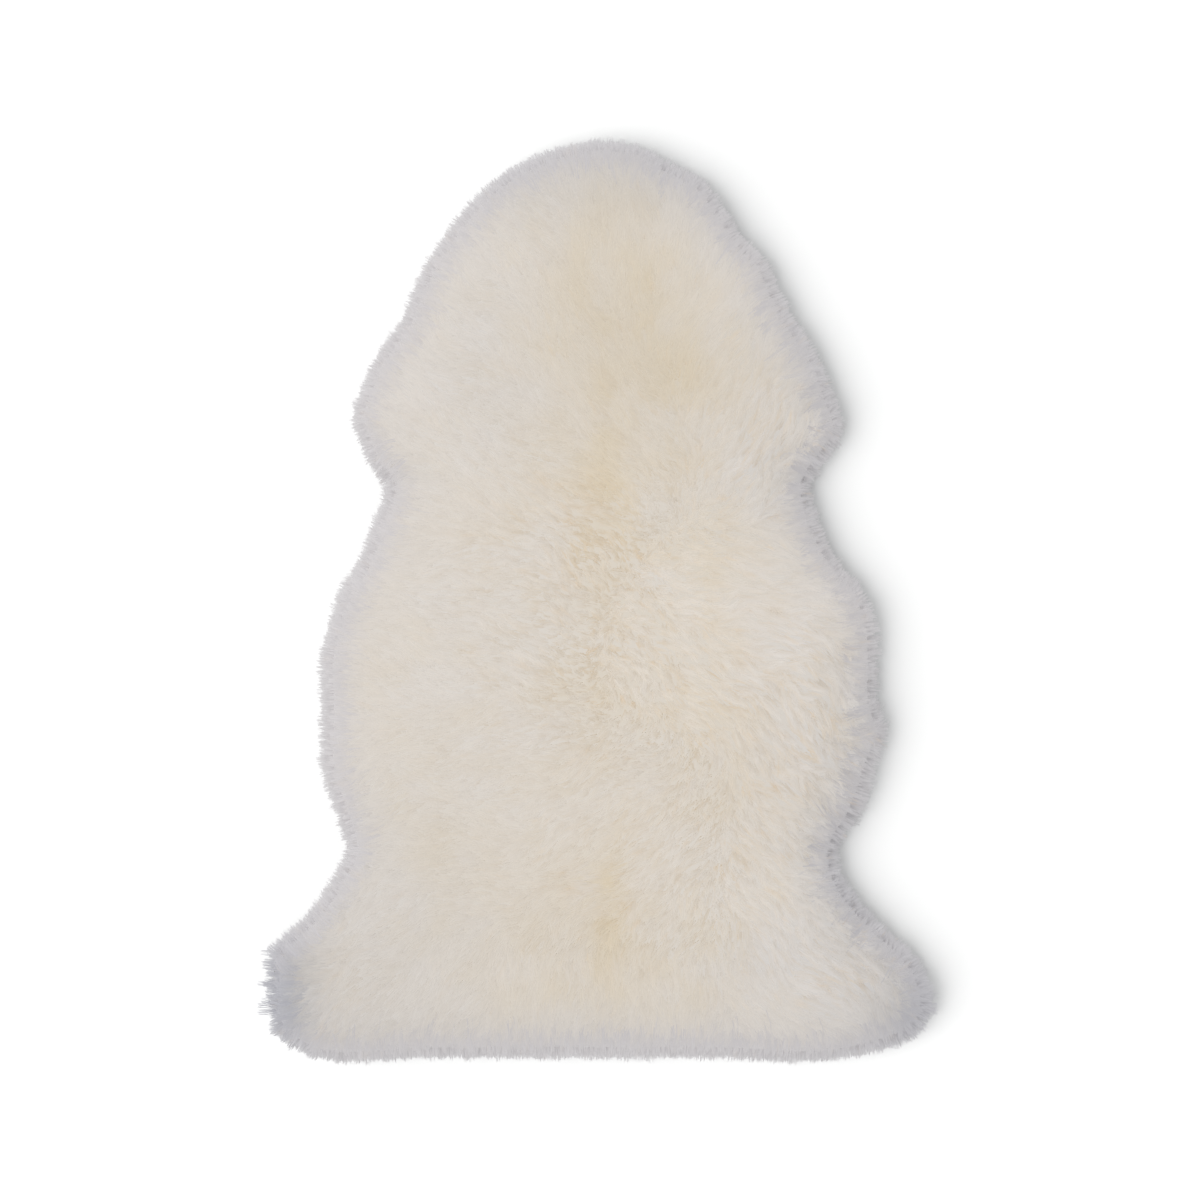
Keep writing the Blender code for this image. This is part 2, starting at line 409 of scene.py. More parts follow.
def to_outline(xy, outline, block=4000):
    """Distance from the outline, positive inside it, and the direction of the shortest way out."""
    starts = outline[:, :2]
    sides = np.roll(starts, -1, axis=0) - starts
    lengths = (sides**2).sum(axis=1)
    outward = unit(np.stack([sides[:, 1], -sides[:, 0]], axis=1))
    distances, directions = [], []
    for at in range(0, len(xy), block):
        p = xy[at : at + block, None, :]
        share = np.clip(((p - starts) * sides).sum(axis=2) / lengths, 0, 1)
        gap = p - (starts + share[:, :, None] * sides)
        square = (gap**2).sum(axis=2)
        nearest = square.argmin(axis=1)
        rows = np.arange(len(nearest))
        inside = -(gap[rows, nearest] * outward[nearest]).sum(axis=1)
        distances.append(np.sqrt(square[rows, nearest]) * np.sign(inside))
        directions.append(outward[nearest])
    return np.concatenate(distances), np.concatenate(directions)


# ---------------------------------------------------------------------------------------------
# Seeded noise and scattering
# ---------------------------------------------------------------------------------------------
NOISE_CELLS = 128
NOISE_OFFSET = 50.0          # keeps the cells' numbers positive over the rug
STREAK_STEPS = 7


def smooth_noise(xy, size, seed):
    """Noise from -1 to 1 that changes over about the given size, in metres."""
    rng = np.random.default_rng(seed)
    grid = rng.uniform(-1, 1, (NOISE_CELLS, NOISE_CELLS))
    p = xy / size + NOISE_OFFSET
    cell = np.floor(p).astype(int)
    f = p - cell
    f = f * f * (3 - 2 * f)
    i, j = cell[:, 0] % (NOISE_CELLS - 1), cell[:, 1] % (NOISE_CELLS - 1)
    low = mixed(grid[i, j], grid[i + 1, j], f[:, 0])
    high = mixed(grid[i, j + 1], grid[i + 1, j + 1], f[:, 0])
    return mixed(low, high, f[:, 1])


def streaked(xy, heading, streak):
    """Noise drawn out along the heading, with a spread of 1."""
    shares = np.linspace(-0.5, 0.5, STREAK_STEPS)
    total = sum(
        smooth_noise(xy + heading * (share * streak.length), streak.width, streak.seed)
        for share in shares
    )
    return total / total.std()


def patched(xy, origin, patches, ground=0.0):
    """The sum of a table's soft patches."""
    total = np.full(len(xy), float(ground))
    place = (xy - origin) / MM
    for p in patches:
        across = (place[:, 0] - p.across) / p.half_width
        along = (place[:, 1] - p.along) / p.half_length
        total += p.amount * np.exp(-(across**2) - along**2)
    return total


def scatter(points, triangles, normals, areas, count, rng):
    """Places spread evenly over the surface apart from its underside, and its normals there."""
    size = np.linalg.norm(areas, axis=1)
    size[on_underside(points, triangles)] = 0
    face = rng.choice(len(size), count, p=size / size.sum())
    u, v = rng.random((2, count, 1))
    fold = u + v > 1
    u, v = np.where(fold, 1 - u, u), np.where(fold, 1 - v, v)

    def at(corners):
        return corners[:, 0] * (1 - u - v) + corners[:, 1] * u + corners[:, 2] * v

    return at(points[triangles[face]]), unit(at(normals[triangles[face]]))


def thinned(places, spacing):
    """Indices of places that keep about this distance from one another."""
    tree = tree_of(places)
    gone = np.zeros(len(places), bool)
    kept = []
    for i, p in enumerate(places):
        if gone[i]:
            continue
        kept.append(i)
        for _, j, _ in tree.find_range(p, spacing):
            gone[j] = True
    return np.array(kept)


def nearest_tuft(places, rng):
    """For each place, the head of the tuft that it belongs to, and that tuft's number."""
    order = rng.permutation(len(places))
    heads = places[order[thinned(places[order], TUFT_SPACING)]]
    tree = tree_of(heads)
    number = np.array([tree.find(p)[1] for p in places])
    return heads[number], number


# ---------------------------------------------------------------------------------------------
# The run of the wool
# ---------------------------------------------------------------------------------------------
# Swirls in the wool's direction: their size, how far they turn it in radians, and their seed.
Swirl = namedtuple("Swirl", "size turn seed")
SWIRLS = (Swirl(60 * MM, 0.45, 3), Swirl(24 * MM, 0.4, 4))
WISP_SWIRL = Swirl(18 * MM, 0.4, 6)
FAR_WEIGHT = 1e-6            # keeps every place's weights over zero


def lay_direction(xy, origin):
    """Vectors in plan along which the wool lies, short where it parts."""
    total, weights = np.zeros((len(xy), 2)), np.zeros((len(xy), 1))
    for lay in LAYS:
        place = np.array([lay.across, lay.along]) * MM + origin
        gap = ((xy - place) ** 2).sum(axis=1) / (lay.reach * MM) ** 2
        weight = np.exp(-gap)[:, None] + FAR_WEIGHT
        angle = math.radians(lay.heading)
        total += weight * np.array([math.cos(angle), math.sin(angle)])
        weights += weight
    return total / weights


def flow(xy, wisp, origin):
    """How the wool runs, before each tuft and lock turns its own way."""
    swirl = sum(smooth_noise(xy, s.size, s.seed) * s.turn for s in SWIRLS)
    swirl = swirl + smooth_noise(xy, WISP_SWIRL.size, WISP_SWIRL.seed) * WISP_SWIRL.turn * wisp
    return turned(lay_direction(xy, origin), swirl)


def locks_lay(places, normals, outward, plan, hanging):
    """How each lock lies along the surface, and the direction across it."""
    lay = in_plan(unit(plan))
    lay = lay - (lay * normals).sum(axis=1)[:, None] * normals
    weak = np.linalg.norm(lay, axis=1) < WEAK_LAY
    down = np.array([0, 0, -1.0]) + normals * normals[:, 2:3]
    lay[weak] = lay[weak] + down[weak]
    lay = unit(lay)
    across = np.cross(normals, lay)
    out, fall = HANGING_LAY
    lay = unit(mixed(lay, in_plan(outward * out, -fall), hanging))
    along_edge = in_plan(np.stack([-outward[:, 1], outward[:, 0]], axis=1))
    return lay, unit(mixed(across, along_edge, hanging))


def make_locks(places, normals, inside, outward, origin, rng):
    """The locks, as a table of arrays with a row for each of them."""
    n = len(places)
    xy = places[:, :2]
    rim = 1 - ease(inside, RIM_FROM, RIM_TO)
    steep = steepness(normals)
    upright, spiky = ease(steep, UPRIGHT_FROM, 1), ease(steep, SPIKY_FROM, 1)
    wisp = patched(xy, origin, WISP_PATCHES, WISP_GROUND).clip(0, 1)
    heads, tuft = nearest_tuft(places, rng)
    tuft_turn, tuft_tone, tuft_bend = rng.normal(0, 1, (3, tuft.max() + 1))[:, tuft]

    # which way it lies
    plan = flow(xy, wisp, origin)
    plan = turned(plan, tuft_turn * TUFT_TURN * wisp + rng.normal(0, LOCK_TURN, n))
    plan = plan + rng.normal(0, LOCK_STRAY, (n, 2))
    plan = plan * (1 - rim)[:, None] + outward * rim[:, None] * RIM_LAY
    strength = np.linalg.norm(plan, axis=1).clip(LEAST_LAY, MOST_LAY)
    strength = np.maximum(strength, in_wisps(WISP_LAY, wisp))
    hanging = 1 - ease(places[:, 2], HANGING_FROM, HANGING_TO)
    lay, across = locks_lay(places, normals, outward, plan, hanging[:, None])

    # how long it is, and how it bends
    depth = (DEPTH + rng.normal(0, DEPTH_SPREAD, n) + DEPTH_UPRIGHT * upright) * MM
    reach = (in_wisps(REACH, wisp) + REACH_SPREAD * rng.normal(0, 1, n)) * strength
    reach = reach.clip(LEAST_REACH, MOST_REACH) * MM * (1 - UPRIGHT_REACH * upright)
    fringe = patched(xy, origin, FRINGE_PATCHES, FRINGE_LENGTH) * MM
    further = patched(xy, origin, FURTHER_PATCHES, FRINGE_FURTHER) * MM
    spike = fringe * (SPIKE_CENTRE - rng.random(n) ** SPIKE_POWER)
    spike = spike - further * ease(steep, FURTHER_FROM, FURTHER_TO)
    sunk = mixed(rng.gamma(SUNK_SHAPE, 1.0, n) * MM, spike, steep)
    fine, broad, tone = FAMILY_SHARES
    family = fine * streaked(xy, lay[:, :2], FINE_STREAK)
    family = family + broad * streaked(xy, lay[:, :2], BROAD_STREAK)
    family = family + tone * tuft_tone * (1 - steep)
    sunk = sunk - family * FAMILY_RISE * wisp * (1 - steep) * MM
    bend = smooth_noise(xy, BEND_SIZE, 5) * BEND_NOISE + tuft_bend * BEND_TUFT * wisp
    bend = (bend + rng.normal(0, BEND_SPREAD, n)) * in_wisps(CURL, wisp)
    bend = bend * MM * (1 - BEND_LOST * steep)

    # how closely its strands meet
    tight = in_wisps(TIGHT, wisp) * (1 - spiky)
    tight = tight + TIGHT_SPIKES * spiky * (1 - HANGING_LOOSE * hanging)

    # where its tip is
    draw = heads - places
    draw = draw - normals * (draw * normals).sum(axis=1)[:, None]
    draw = draw * (TUFT_DRAW * wisp * (1 - steep) * ease(inside, DRAW_FROM, DRAW_TO))[:, None]
    push = inside * HANGING_OUT * rng.uniform(*HANGING_PUSH, n)
    pushed = in_plan(outward * push[:, None]) * hanging[:, None]
    droop = rng.gamma(DROOP_SHAPE, DROOP / DROOP_SHAPE, n)
    droop = droop * steep * ease(places[:, 2], DROOP_FROM, DROOP_TO)
    tip = places + draw + pushed - normals * sunk[:, None]
    tip[:, 2] -= np.minimum(droop, (tip[:, 2] - LOWEST_TIP).clip(0, None))
    return {
        "tip": tip, "normal": normals, "lay": lay, "across": across, "xy": xy, "inside": inside,
        "outward": outward, "rim": rim, "steep": steep, "spiky": spiky, "wisp": wisp,
        "family": family, "depth": depth, "reach": reach, "bend": bend,
        "aside": ((places - heads) * across).sum(axis=1),
        "thin": ease(steep, THIN_FROM, 1) * (1 - hanging),
        "tight": tight,
        "gather": mixed(GATHER, GATHER_SPIKES, spiky),
    }


def make_strands(locks, rng, origin):
    """Each lock's strands: the middles of their stations, their sides, widths and colours."""
    n = len(locks["tip"])
    lock = np.repeat(np.arange(n), STRANDS_A_LOCK)
    m = len(lock)
    tip, normal, lay, across, steep, spiky, gather = (
        locks[key][lock] for key in ("tip", "normal", "lay", "across", "steep", "spiky", "gather")
    )
    depth = locks["depth"][lock] * rng.normal(1, STRAND_DEPTH, m)
    reach = locks["reach"][lock] * rng.normal(1, STRAND_REACH, m)
    bend = locks["bend"][lock] + rng.normal(0, STRAND_BEND, m) * MM
    turn = rng.uniform(0, 2 * math.pi, m)
    radius = np.sqrt(rng.random(m))
    a, b = radius * np.cos(turn), radius * np.sin(turn)
    clump = locks["tight"][lock] + CLUMP - CLUMP_SPREAD * rng.random(m)
    clump = clump.clip(0, MOST_CLUMP)
    # on the fringe a lock ends in several spikes
    spike = rng.uniform(0, 2 * math.pi, n)[lock]
    spike = spike + np.tile(np.arange(STRANDS_A_LOCK) % SPIKES, n) * 2 * math.pi / SPIKES
    spike_a, spike_b = (SPIKE_RADIUS * spiky * LOCK_RADIUS * f(spike) for f in (np.cos, np.sin))
    radius_share = 1 - SPIKES_NARROWER * spiky
    length_share = LONG_LOCK - (LONG_LOCK - 1) * steep
    wobble = rng.normal(0, 1, (m, 3)) * (WOBBLE - WOBBLE_LOST * steep)[:, None] * MM
    short = rng.gamma(SHORT_SHAPE, SHORT_SCALE, m) * MM
    centre = np.zeros((m, len(STATIONS), 3))
    for i, s in enumerate(STATIONS):
        spread = LOCK_RADIUS * radius_share * (1 - clump * s**gather)
        p = tip - normal * (depth * (1 - s) ** RISE + short * s)[:, None]
        p = p - lay * (reach * (1 - s**SLOPE))[:, None]
        p = p + across * (bend * math.sin(math.pi * s) + b * spread + spike_b)[:, None]
        p = p + lay * (a * spread * length_share + spike_a)[:, None]
        centre[:, i] = p + wobble * s
    centre[:, :, 2] = np.maximum(centre[:, :, 2], LOWEST)

    tangent = np.zeros_like(centre)
    tangent[:, 0] = centre[:, 1] - centre[:, 0]
    tangent[:, 1:-1] = centre[:, 2:] - centre[:, :-2]
    tangent[:, -1] = centre[:, -1] - centre[:, -2]
    tangent = unit(tangent)
    # a wisp's strands face out from its crest, as on a rounded lock
    aside = (locks["aside"][lock] + b * LOCK_RADIUS * STRAND_ASIDE) / (TUFT_SPACING * CREST_WIDTH)
    rounded = (locks["wisp"] * (1 - locks["steep"]))[lock]
    tilt = rng.normal(0, 1, m) * TILT + aside.clip(-MOST_ASIDE, MOST_ASIDE) * ROUNDED * rounded
    up = np.array([0, 0, 1.0])
    face = normal * (1 - FACE_UP * steep)[:, None] + up * FACE_UP * steep[:, None]
    face = unit(face + across * tilt[:, None])
    width = STRAND_WIDTH * rng.uniform(*WIDTH_SPREAD, m) * (1 - THINNER * locks["thin"][lock])
    # where a wisp's edge gets painted shade
    edge = ease(np.abs(aside), EDGE_FROM, EDGE_TO) * rounded
    return {
        "centre": centre,
        "side": unit(np.cross(tangent, face[:, None, :])),
        "width": width[:, None] * TAPER,
        "colour": strand_colours(locks, lock, centre, edge, rng, origin),
    }


# ---------------------------------------------------------------------------------------------
# The wool's colours
# ---------------------------------------------------------------------------------------------
def wool_cream(xy, inside, origin):
    """How creamy the wool is, from 0 where it is neutral to 1."""
    cloud = sum(
        smooth_noise(xy, size, seed) * amount
        for size, amount, seed in zip(CLOUD_SIZES, CLOUDS, (8, 9))
    )
    cream = patched(xy, origin, CREAM_PATCHES, CREAM_GROUND)
    cream = (cream + cloud * (CREAM_CLOUDED + cream)) * ease(inside, CREAM_FROM, CREAM_TO)
    return cream.clip(0, MOST_CREAM)


def away_from_light(outward):
    """1 where the edge faces straight away from the light, and -1 where it faces it."""
    dark = math.radians(BAND_HEADING)
    return outward @ np.array([math.cos(dark), math.sin(dark)])


def wool_colour(xy, inside, outward, origin):
    """The wool's colour from place to place, before wisps and roots. It holds painted shade: a
    greyer, darker rim, a darker band along the outline and darker patches.
    """
    cream = wool_cream(xy, inside, origin)[:, None]
    rim = (1 - ease(inside, 0, GREY_TO))[:, None]
    base = mixed(mixed(NEUTRAL, CREAM, cream), RIM_GREY_AND_SHADE, rim)
    # painted shade: a darker band along the outline, most away from the light, and darker patches
    band = BAND_SHADE + BAND_SWING * away_from_light(outward)
    band = band * (1 - ease(inside, BAND_FROM, BAND_TO))
    # painted shade in patches
    shade = patched(xy, origin, SHADE_PATCHES)[:, None]
    return base * (1 - shade * SHADE_TINT) * (1 - band)[:, None]


def wisps(xy, lay):
    """Where wisps lie over one another: how far a place is up on a wisp, thin lines between wisps,
    and small flecks."""
    warp = np.stack([smooth_noise(xy, WARP_SIZE, seed) for seed in (21, 22)], axis=1)
    waved = xy + warp * WARP
    fine = streaked(waved, lay, FINE_STREAK)
    between = streaked(waved, lay, LINE_STREAK)
    grouped = ease(smooth_noise(xy, LINE_GROUP_SIZE, 15), LINE_GROUP_FROM, LINE_GROUP_TO)
    line = ease(LINE_WIDTH - np.abs(between), 0, LINE_FADE) * grouped
    fleck = ease(streaked(waved, lay, FLECK_STREAK), FLECK_FROM, FLECK_TO)
    return fine, line, fleck


def strand_colours(locks, lock, centre, edge, rng, origin):
    """Colours at each station of each strand, of which centre holds the places. edge is 1 where a
    strand lies between two wisps.
    The colours hold painted light: highlights on wisps' crests, darker and creamier lines and
    edges between them, roots darkened as painted shade, and darker wool near the floor."""
    wisp, rim = locks["wisp"][lock], locks["rim"][lock][:, None]
    outward = locks["outward"][lock]
    plain = wool_colour(locks["xy"], locks["inside"], locks["outward"], origin)[lock]
    ground = wool_cream(locks["xy"], locks["inside"], origin)[lock]
    inner = ease(locks["inside"][lock], INNER_FROM, INNER_TO)
    own_tone = rng.normal(0, OWN_TONE, len(lock))
    # painted shade: the wool near the floor is darker on the side away from the light
    low = 1 - ease(centre[:, -1, 2], LOW_WOOL, HIGH_WOOL)
    low = low * LOW_SHADE * (0.5 + 0.5 * away_from_light(locks["outward"]))[lock]
    pale = locks["steep"][lock][:, None] * PALE_TIP
    creamable = INNER_CREAM * inner + ground
    colours = []
    for i, s in enumerate(STATIONS):
        xy = centre[:, i, :2]
        along = unit(mixed(unit(flow(xy, wisp, origin)), outward, rim))
        fine, line, fleck = wisps(xy, along)
        line = line * wisp
        # painted light: a family that stands up is lighter, less creamy and has a painted
        # highlight; one that lies low is darker and creamier
        family = np.tanh(FAMILY_FINE * fine + FAMILY_LOCK * locks["family"][lock])
        tone = own_tone + family * in_wisps(FAMILY_TONE, wisp)
        tone = tone - LINE_SHADE * line - EDGE_SHADE * edge
        cream = ground - family * in_wisps(FAMILY_CREAM, wisp) * creamable
        cream = (cream + line * LINE_CREAM * creamable).clip(0, MOST_STRAND_CREAM)
        highlight = (family * in_wisps(FAMILY_HIGHLIGHT, wisp)).clip(0, 1)[:, None]
        fleck = fleck * in_wisps(FLECKED, wisp).clip(0, 1)
        fleck = (fleck * (FLECK_CREAM + cream).clip(0, 1))[:, None]
        # painted shade: lines and edges between wisps take on the shaded roots' colour
        lined = ((line * LINE_ROOT + edge * EDGE_ROOT) * inner)[:, None]
        base = mixed(plain * (1 + tone)[:, None], SHADED_ROOT, lined)
        highlight_colour = WHITE * highlight * (base.mean(axis=1) / WHITE_OVER)[:, None]
        base = mixed(base * (1 - highlight) + highlight_colour, FLECK, FLECK_STRENGTH * fleck)
        # roots: yellower where the wool is rich, and darker everywhere as painted shade
        rich = (cream + RICH_WISP * wisp * inner).clip(0, MOST_RICH)[:, None]
        root = mixed(SHADED_ROOT * rich + base * ROOT_SHADE * (1 - rich), FLECK, fleck)
        rooted = in_wisps(ROOT_SHARE, wisp[:, None]) + ROOT_FLECK * fleck
        tip = base * (1 - pale * s) + WHITE * pale * s
        colour = mixed(tip, root, ((1 - s) ** ROOT_FADE * rooted).clip(0, 1))
        colours.append(colour * (1 - low)[:, None])
    return np.clip(np.stack(colours, axis=1) * BRIGHTER, 0, BRIGHTEST)


# ---------------------------------------------------------------------------------------------
# Materials
# ---------------------------------------------------------------------------------------------
def new_material(name, specular, sheen=0.0):
    """A material, its nodes and its links."""
    material = bpy.data.materials.new(name)
    material.use_nodes = True
    nodes, links = material.node_tree.nodes, material.node_tree.links
    surface = nodes["Principled BSDF"]
    surface.inputs["Specular IOR Level"].default_value = specular
    if sheen:
        surface.inputs["Sheen Weight"].default_value = sheen
        surface.inputs["Sheen Roughness"].default_value = 0.5
    return material, nodes, links


def noise(nodes, links, scale, detail):
    """A noise texture in the object's own space."""
    place = nodes.new("ShaderNodeTexCoord")
    found = nodes.new("ShaderNodeTexNoise")
    found.inputs["Scale"].default_value = scale
    found.inputs["Detail"].default_value = detail
    links.new(place.outputs["Object"], found.inputs["Vector"])
    return found.outputs["Fac"]


def mapped(nodes, links, value, low, high, spread=0.2):
    """The value, mostly within the spread of 0.5, brought to the range from low to high."""
    found = nodes.new("ShaderNodeMapRange")
    found.inputs["From Min"].default_value = 0.5 - spread
    found.inputs["From Max"].default_value = 0.5 + spread
    found.inputs["To Min"].default_value = low
    found.inputs["To Max"].default_value = high
    links.new(value, found.inputs["Value"])
    return found.outputs["Result"]


def blended(nodes, links, value, first, second):
    """A colour between the two."""
    found = nodes.new("ShaderNodeValToRGB")
    for element, position, colour in zip(found.color_ramp.elements, (0.3, 0.7), (first, second)):
        element.position = position
        element.color = (*colour, 1)
    links.new(value, found.inputs["Fac"])
    return found.outputs["Color"]


def bumped(nodes, links, value, distance, strength):
    found = nodes.new("ShaderNodeBump")
    found.inputs["Strength"].default_value = strength
    found.inputs["Distance"].default_value = distance
    links.new(value, found.inputs["Height"])
    links.new(found.outputs["Normal"], nodes["Principled BSDF"].inputs["Normal"])


def wool_material(name, through):
    """Wool in its mesh's colours. through is the share of light that passes through a fibre."""
    material, nodes, links = new_material(name, specular=0.25, sheen=0.15)
    surface = nodes["Principled BSDF"]
    tint = nodes.new("ShaderNodeAttribute")
    tint.attribute_name = "tint"
    clumps = noise(nodes, links, scale=420, detail=3)
    colour = nodes.new("ShaderNodeVectorMath")
    colour.operation = "SCALE"
    links.new(tint.outputs["Color"], colour.inputs[0])
    shade = mapped(nodes, links, clumps, 0.99, 1.01, spread=0.25)
    links.new(shade, colour.inputs["Scale"])
    links.new(colour.outputs["Vector"], surface.inputs["Base Color"])
    links.new(mapped(nodes, links, clumps, 0.62, 0.86), surface.inputs["Roughness"])
    scales = noise(nodes, links, scale=1500, detail=2)
    bumped(nodes, links, scales, distance=0.1 * MM, strength=0.12)
    if through > 0:
        passed = nodes.new("ShaderNodeBsdfTranslucent")
        links.new(colour.outputs["Vector"], passed.inputs["Color"])
        mix = nodes.new("ShaderNodeMixShader")
        mix.inputs["Fac"].default_value = through
        links.new(surface.outputs["BSDF"], mix.inputs[1])
        links.new(passed.outputs["BSDF"], mix.inputs[2])
        links.new(mix.outputs["Shader"], nodes["Material Output"].inputs["Surface"])
    return material


def hide_material():
    """The suede side of the skin: blotchy, matt, with a short nap."""
    material, nodes, links = new_material("skin", specular=0.2, sheen=0.2)
    surface = nodes["Principled BSDF"]
    blotches = noise(nodes, links, scale=14, detail=5)
    colour = blended(nodes, links, blotches, (0.64, 0.54, 0.41), (0.76, 0.68, 0.55))
    links.new(colour, surface.inputs["Base Color"])
    nap = noise(nodes, links, scale=650, detail=4)
    links.new(mapped(nodes, links, nap, 0.78, 0.97), surface.inputs["Roughness"])
    bumped(nodes, links, nap, distance=0.3 * MM, strength=0.5)
    return material


def floor_material():
    """Matt, pale and very slightly uneven."""
    material, nodes, links = new_material("floor", specular=0.1)
    surface = nodes["Principled BSDF"]
    cast = noise(nodes, links, scale=3, detail=4)
    colour = blended(nodes, links, cast, (0.530, 0.528, 0.523), (0.534, 0.532, 0.527))
    links.new(colour, surface.inputs["Base Color"])
    links.new(mapped(nodes, links, cast, 0.86, 0.94), surface.inputs["Roughness"])
    return material


# ---------------------------------------------------------------------------------------------
# Objects
# ---------------------------------------------------------------------------------------------
def new_object(name, mesh, material):
    mesh.materials.append(material)
    obj = bpy.data.objects.new(name, mesh)
    bpy.context.scene.collection.objects.link(obj)
    return obj


def large_mesh(name, points, faces):
    """faces is a list of integer arrays, each of quads or of triangles."""
    mesh = bpy.data.meshes.new(name)
    mesh.vertices.add(len(points))
    mesh.vertices.foreach_set("co", points.astype(np.float32).ravel())
    corners = np.concatenate([f.ravel() for f in faces])
    counts = np.concatenate([np.full(len(f), f.shape[1]) for f in faces])
    starts = np.concatenate([[0], np.cumsum(counts)[:-1]])
    mesh.loops.add(len(corners))
    mesh.loops.foreach_set("vertex_index", corners.astype(np.int32))
    mesh.polygons.add(len(counts))
    mesh.polygons.foreach_set("loop_start", starts.astype(np.int32))
    mesh.update(calc_edges=True)
    mesh.validate()
    mesh.shade_smooth()
    return mesh


def add_tint(mesh, colour):
    tint = np.ones((len(colour), 4), np.float32)
    tint[:, :3] = colour
    attribute = mesh.color_attributes.new("tint", "FLOAT_COLOR", "POINT")
    attribute.data.foreach_set("color", tint.ravel())


def add_uv(mesh, uv):
    """A UV map named OFBake, from one place for each vertex."""
    vertex = np.zeros(len(mesh.loops), np.int32)
    mesh.loops.foreach_get("vertex_index", vertex)
    layer = mesh.uv_layers.new(name="OFBake")
    layer.uv.foreach_set("vector", uv[vertex].astype(np.float32).ravel())


def strand_cells(n, station, last):
    """A place in the map for each vertex of each strand. Each strand has a cell of its own, and
    neighbours on the rug are neighbours there."""
    side_margin, end_margin = 0.2, 0.12
    cells = math.ceil(math.sqrt(n))
    strand = np.arange(n)
    row = strand // cells
    column = np.where(row % 2 == 0, strand % cells, cells - 1 - strand % cells)
    across = [side_margin if i % 2 == 0 else 1 - side_margin for i in range(len(station) - 1)]
    along = end_margin + (1 - 2 * end_margin) * station / last
    uv = np.zeros((n, len(station), 2))
    uv[:, :, 0] = (column[:, None] + np.array(across + [0.5])) / cells
    uv[:, :, 1] = (row[:, None] + along) / cells
    return uv


def ribbons(name, centre, side, width, colour, material):
    """Tapered ribbons. centre is strands x stations x 3. The last station is the pointed tip."""
    n, k = centre.shape[:2]
    half = side * (width / 2)[:, :, None]
    left, right = centre[:, :-1] - half[:, :-1], centre[:, :-1] + half[:, :-1]
    rows = np.stack([left, right], axis=2).reshape(n, 2 * (k - 1), 3)
    points = np.concatenate([rows, centre[:, -1:]], axis=1)
    per = 2 * k - 1
    base = (np.arange(n) * per)[:, None]
    quads = [base + np.array([2 * i, 2 * i + 1, 2 * i + 3, 2 * i + 2]) for i in range(k - 2)]
    tips = base + np.array([per - 3, per - 2, per - 1])
    mesh = large_mesh(name, points.reshape(-1, 3), [np.concatenate(quads), tips])
    station = np.array([i // 2 for i in range(per - 1)] + [k - 1])
    add_tint(mesh, colour[:, station].reshape(-1, 3))
    add_uv(mesh, strand_cells(n, station, k - 1).reshape(-1, 2))
    return new_object(name, mesh, material)


def skin_edge(points, triangles):
    """The skin's edge: that of the flat underside, drawn in. Counterclockwise from above."""
    ring = border(points, triangles[on_underside(points, triangles)])[::-1]
    _, outward = to_outline(ring[:, :2], ring)
    return ring - in_plan(outward) * SKIN_INSET


def skin_sheet(ring, material):
    n = len(ring)
    bottom, top = ring.copy(), ring.copy()
    bottom[:, 2], top[:, 2] = 0, SKIN_THICKNESS
    i = list(range(n))
    faces = [tuple(reversed(i)), tuple(n + k for k in i)]
    faces += [(k, (k + 1) % n, n + (k + 1) % n, n + k) for k in i]
    mesh = bpy.data.meshes.new("skin")
    mesh.from_pydata([tuple(p) for p in np.concatenate([bottom, top])], [], faces)
    return new_object("skin", mesh, material)


def core_piece(points, triangles, normals, outline, origin, material):
    depth = mixed(CORE_DEPTH, CORE_RIM_DEPTH, steepness(normals))
    inner = points - normals * depth[:, None]
    # under the widest line the core goes straight down to the skin
    under = normals[:, 2] < 0
    inner[under, 2] = points[under, 2]
    inner[:, 2] = np.maximum(inner[:, 2], CORE_BASE)
    mesh = large_mesh("wool_core", inner, [triangles])
    inside, outward = to_outline(points[:, :2], outline)
    base = wool_colour(points[:, :2], inside, outward, origin)
    cream = wool_cream(points[:, :2], inside, origin)[:, None]
    # painted shade: the core is darker than the locks, partly in the shaded roots' colour
    add_tint(mesh, base * (1 - CORE_ROOTS * cream) * CORE_SHADE + SHADED_ROOT * CORE_ROOTS * cream)
    return new_object("wool_core", mesh, material)


def pile_pieces(points, triangles, normals, areas, outline, origin, material):
    """The locks over the whole rug, dealt out to several pieces."""
    rng = np.random.default_rng(SEED)
    places, directions = scatter(points, triangles, normals, areas, CANDIDATES, rng)
    kept = thinned(places, LOCK_SPACING)
    strip = np.floor(places[kept, 1] / STRIP).astype(int)
    kept = kept[np.lexsort((places[kept, 0] * np.where(strip % 2 == 0, 1, -1), strip))]
    places, directions = places[kept], directions[kept]
    inside, outward = to_outline(places[:, :2], outline)
    locks = make_locks(places, directions, inside, outward, origin, rng)
    strands = make_strands(locks, rng, origin)
    order = rng.permutation(len(strands["centre"]))[: STRAND_PIECES * STRANDS_A_PIECE]
    pieces = []
    for i, part in enumerate(np.array_split(order, STRAND_PIECES)):
        part = np.sort(part)
        chosen = {key: values[part] for key, values in strands.items()}
        piece = ribbons(f"wool_locks_{i + 1}", **chosen, material=material)
        piece.visible_diffuse = False
        pieces.append(piece)
    return pieces


def make_floor():
    h = FLOOR_HALF_SIZE
    mesh = bpy.data.meshes.new("floor")
    mesh.from_pydata([(-h, -h, 0), (h, -h, 0), (h, h, 0), (-h, h, 0)], [], [(0, 1, 2, 3)])
    floor = new_object("floor", mesh, floor_material())
    return floor


# ---------------------------------------------------------------------------------------------
# Light and camera
# ---------------------------------------------------------------------------------------------
def collection_of(name, obj):
    found = bpy.data.collections.new(name)
    found.objects.link(obj)
    return found


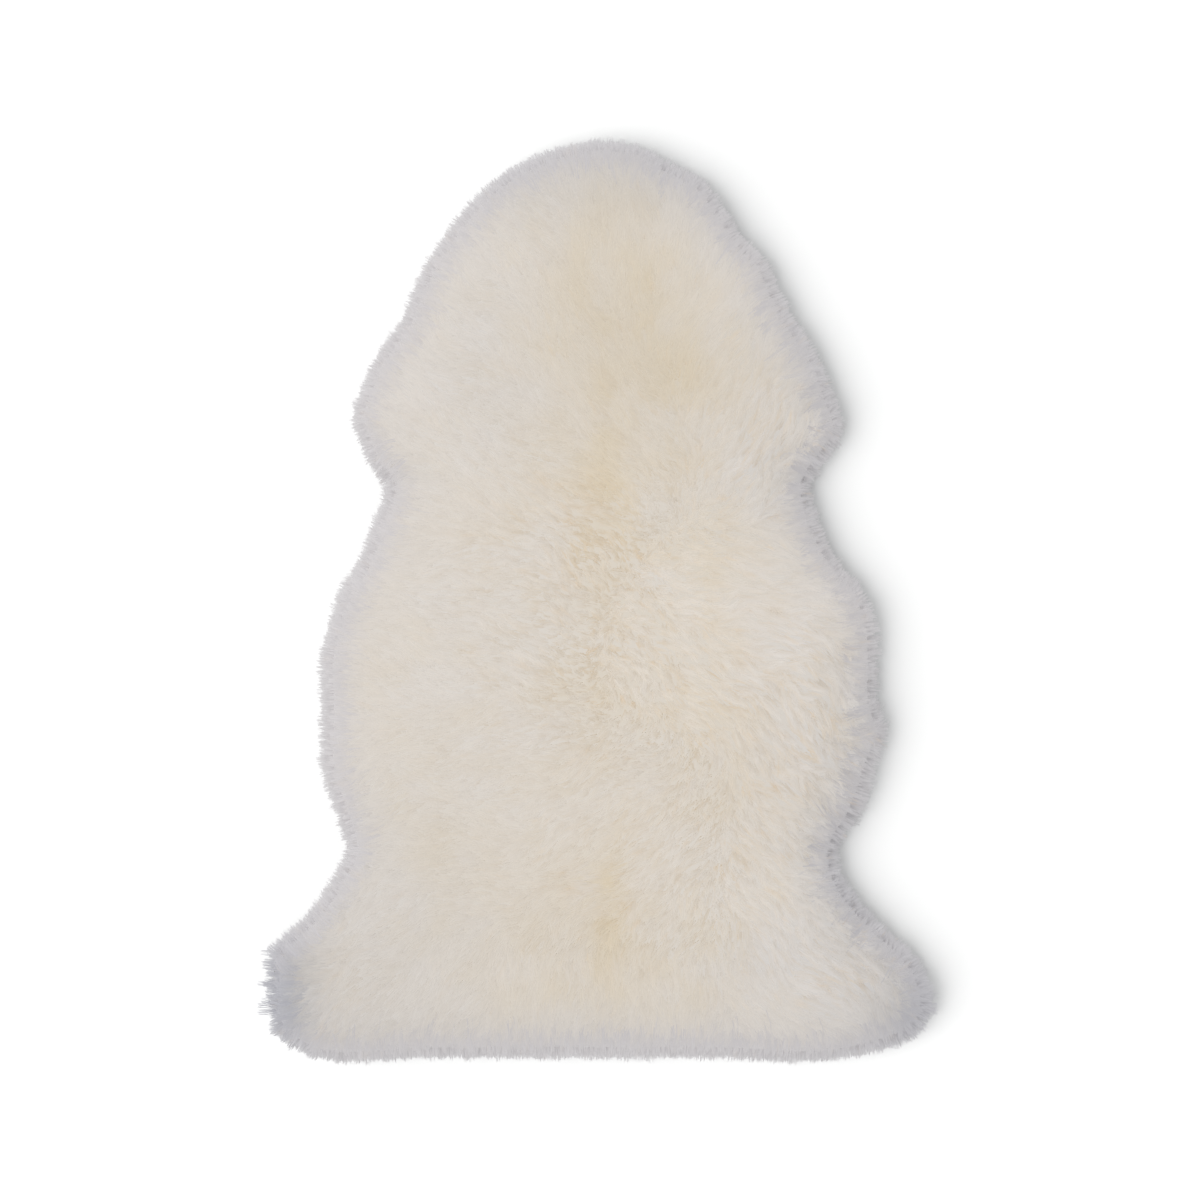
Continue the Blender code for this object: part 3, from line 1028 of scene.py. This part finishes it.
def soft_sun(name, elevation, strength):
    light = bpy.data.lights.new(name, "SUN")
    light.angle = math.radians(LIGHT_ANGLE)
    light.energy = strength
    lamp = bpy.data.objects.new(name, light)
    a, e = math.radians(LIGHT_HEADING), math.radians(elevation)
    towards = Vector((math.cos(a) * math.cos(e), math.sin(a) * math.cos(e), math.sin(e)))
    lamp.location = towards * LIGHT_DISTANCE
    lamp.rotation_euler = (-towards).to_track_quat("-Z", "Y").to_euler()
    bpy.context.scene.collection.objects.link(lamp)
    return lamp


def make_lights(core, floor):
    """The key light makes the shadow on the floor. The side light models the wool's form."""
    world = bpy.data.worlds.new("studio")
    world.use_nodes = True
    background = world.node_tree.nodes["Background"]
    background.inputs["Color"].default_value = WORLD_COLOUR
    background.inputs["Strength"].default_value = WORLD_STRENGTH
    bpy.context.scene.world = world
    key = soft_sun("key", KEY_ELEVATION, KEY_STRENGTH)
    key.light_linking.receiver_collection = collection_of("lit by the key", floor)
    side = soft_sun("side", SIDE_ELEVATION, SIDE_STRENGTH)
    side.light_linking.blocker_collection = collection_of("shades the side light", core)


def make_camera():
    scene = bpy.context.scene
    data = bpy.data.cameras.new("camera")
    data.sensor_width = SENSOR
    view_width = MM_PER_PIXEL * IMAGE_SIZE * MM
    data.lens = SENSOR * (CAMERA_HEIGHT - OUTLINE_HEIGHT) / view_width
    camera = bpy.data.objects.new("camera", data)
    camera.location = (*IMAGE_CENTRE, CAMERA_HEIGHT)
    scene.collection.objects.link(camera)
    scene.camera = camera
    scene.view_settings.view_transform = "Standard"


def main():
    points, triangles = node_surface(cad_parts[NODE])
    areas = face_areas(points, triangles)
    normals = vertex_normals(points, triangles, areas)
    outline = border(points, triangles[areas[:, 2] > 0])
    origin = np.array([0.0, points[:, 1].min()])
    wool, hide = wool_material("wool", THROUGH), hide_material()
    matted = wool_material("wool_base", 0)

    ring = skin_edge(points, triangles)
    skin = skin_sheet(ring, hide)
    core = core_piece(points, triangles, normals, outline, origin, matted)
    pieces = pile_pieces(points, triangles, normals, areas, outline, origin, wool)
    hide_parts(NODE)
    for piece in [skin, core, *pieces]:
        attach(piece, "root")
    floor = make_floor()
    make_lights(core, floor)
    make_camera()


main()
